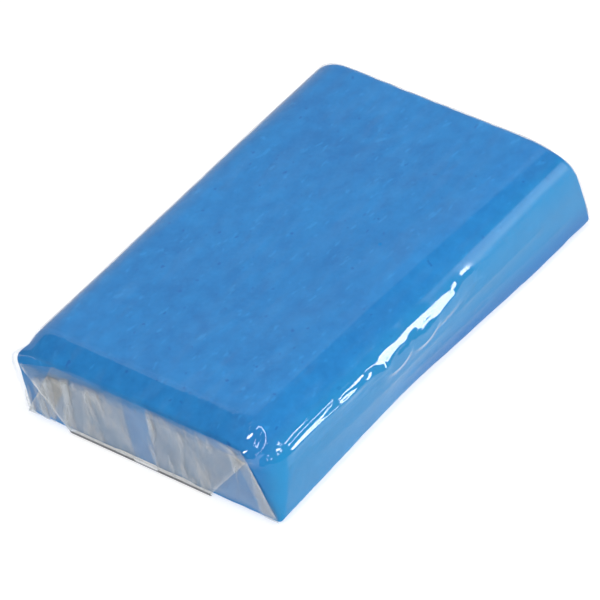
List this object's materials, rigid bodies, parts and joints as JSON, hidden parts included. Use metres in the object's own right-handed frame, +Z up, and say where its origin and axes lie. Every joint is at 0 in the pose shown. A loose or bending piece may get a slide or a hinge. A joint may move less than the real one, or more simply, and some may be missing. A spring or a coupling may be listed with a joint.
{
  "type": "clay bar",
  "caption": "Rounded block of car detailing clay in a clear film wrapper, folded like a parcel, with end flaps that hinge open at their creases.",
  "frame": {"origin": "middle of the bar's footprint, on the surface it lies on", "axes": "+X along the bar's length, from the front end to the rear end; +Y across its width; +Z up"},
  "size_m": [0.08, 0.0556, 0.016],
  "materials": {
    "clay": "matte",
    "film": "gloss"
  },
  "bodies": {
    "wrapped_bar": {"clay_bar": "clay", "film_sleeve": "film", "front_tuck_left": "film", "front_tuck_right": "film", "rear_tuck_left": "film", "rear_tuck_right": "film"},
    "front_upper": {"front_upper_flap": "film"},
    "front_lower": {"front_lower_flap": "film"},
    "rear_upper": {"rear_upper_flap": "film"},
    "rear_lower": {"rear_lower_flap": "film"}
  },
  "joints": [
    {"name": "front_upper_fold", "type": "hinge", "parent": "wrapped_bar", "child": "front_upper", "pos_m": [-0.0389, 0, 0.0141], "axis": [0, 1, 0], "range_deg": [0, 180]},
    {"name": "front_lower_fold", "type": "hinge", "parent": "wrapped_bar", "child": "front_lower", "pos_m": [-0.03934, 0, 0.00085], "axis": [0, -1, 0], "range_deg": [0, 27]},
    {"name": "rear_upper_fold", "type": "hinge", "parent": "wrapped_bar", "child": "rear_upper", "pos_m": [0.0399, 0, 0.0141], "axis": [0, -1, 0], "range_deg": [0, 180]},
    {"name": "rear_lower_fold", "type": "hinge", "parent": "wrapped_bar", "child": "rear_lower", "pos_m": [0.0394, 0, 0.00085], "axis": [0, 1, 0], "range_deg": [0, 27]}
  ],
  "couplings": [
    {"joint": "front_lower_fold", "follows": "front_upper_fold", "ratio": 0.15},
    {"joint": "rear_lower_fold", "follows": "rear_upper_fold", "ratio": 0.15}
  ]
}
